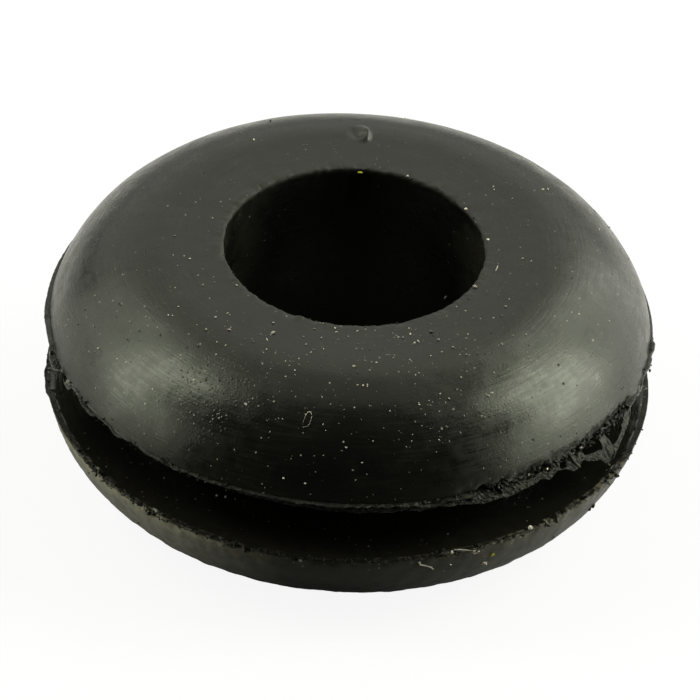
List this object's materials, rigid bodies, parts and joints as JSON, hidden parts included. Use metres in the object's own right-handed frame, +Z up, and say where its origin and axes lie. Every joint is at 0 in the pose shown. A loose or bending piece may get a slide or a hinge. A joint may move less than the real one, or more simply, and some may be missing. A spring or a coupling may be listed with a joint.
{
  "type": "rubber grommet",
  "caption": "Round moulded rubber cable grommet: two domed flanges, a groove between them that grips a thin panel, and a straight bore.",
  "frame": {"origin": "centre of the bore, in the plane of the lower land that the grommet stands on", "axes": "+Z up along the bore's axis, from the lower flange to the upper one; +X and +Y lie in the standing plane, and a small dimple in the upper land lies towards +Y"},
  "size_m": [0.0146, 0.0146, 0.0062],
  "materials": {
    "rubber": "semi-matte moulded black rubber, dusty, with torn flash along the lips"
  },
  "bodies": {
    "root": {"grommet": "rubber"}
  },
  "joints": []
}
